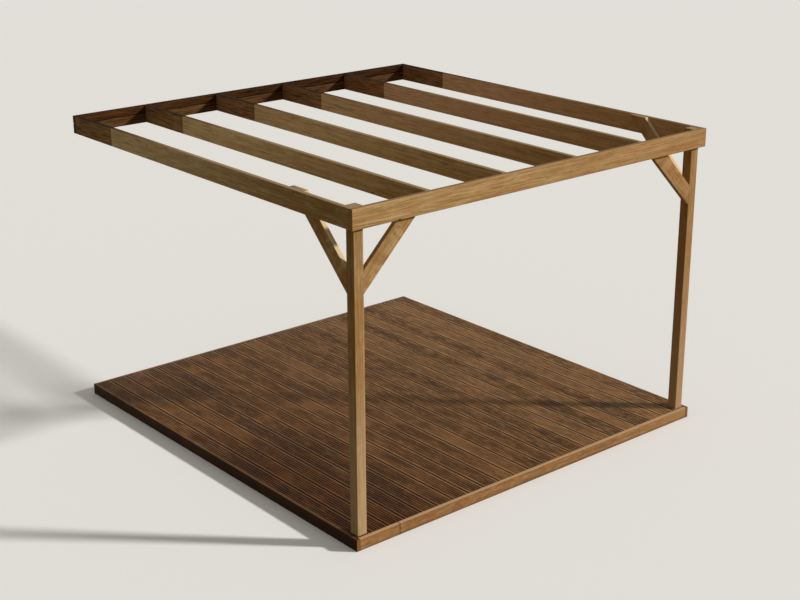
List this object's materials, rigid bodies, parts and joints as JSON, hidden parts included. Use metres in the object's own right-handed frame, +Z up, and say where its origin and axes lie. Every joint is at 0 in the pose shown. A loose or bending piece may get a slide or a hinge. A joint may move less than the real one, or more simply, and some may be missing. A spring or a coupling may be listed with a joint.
{
  "type": "wooden lean-to pergola with a low timber deck",
  "caption": "Open flat-roofed timber pergola: front posts with knee braces carry a beam and rafters that meet a wall ledger, over a grooved board deck.",
  "frame": {"origin": "on the ground under the middle of the plan", "axes": "+Z up, +Y from the front beam to the wall, +X to the right seen from the front"},
  "size_m": [3.5, 3.645, 2.44],
  "materials": {
    "frame_timber": "planed and oiled, warm straw brown",
    "fascia_timber": "planed and oiled, orange brown",
    "deck_timber": "grooved, oiled dark brown, worn",
    "joist_timber": "rough sawn, unfinished"
  },
  "bodies": {
    "root": {"post_left": "frame_timber", "post_right": "frame_timber", "front_beam": "frame_timber", "rafter_left": "frame_timber", "rafter_2": "frame_timber", "rafter_3": "frame_timber", "rafter_4": "frame_timber", "rafter_5": "frame_timber", "rafter_right": "frame_timber", "wall_ledger_lower": "frame_timber", "wall_ledger_upper": "frame_timber", "brace_front_left": "frame_timber", "brace_front_right": "frame_timber", "brace_side_left": "frame_timber", "brace_side_right": "frame_timber", "fascia_left": "deck_timber", "fascia_right": "deck_timber", "fascia_back": "deck_timber", "fascia_front_left": "fascia_timber", "fascia_front_right": "fascia_timber", "front_bearer": "joist_timber", "deck_joists": "joist_timber", "deck_board_01": "deck_timber", "deck_board_02": "deck_timber", "deck_board_03": "deck_timber", "deck_board_04": "deck_timber", "deck_board_05": "deck_timber", "deck_board_06": "deck_timber", "deck_board_07": "deck_timber", "deck_board_08": "deck_timber", "deck_board_09": "deck_timber", "deck_board_10": "deck_timber", "deck_board_11": "deck_timber", "deck_board_12": "deck_timber", "deck_board_13": "deck_timber", "deck_board_14": "deck_timber", "deck_board_15": "deck_timber", "deck_board_16": "deck_timber", "deck_board_17": "deck_timber", "deck_board_18": "deck_timber", "deck_board_19": "deck_timber", "deck_board_20": "deck_timber", "deck_board_21": "deck_timber", "deck_board_22": "deck_timber", "deck_board_23": "deck_timber"}
  },
  "joints": []
}
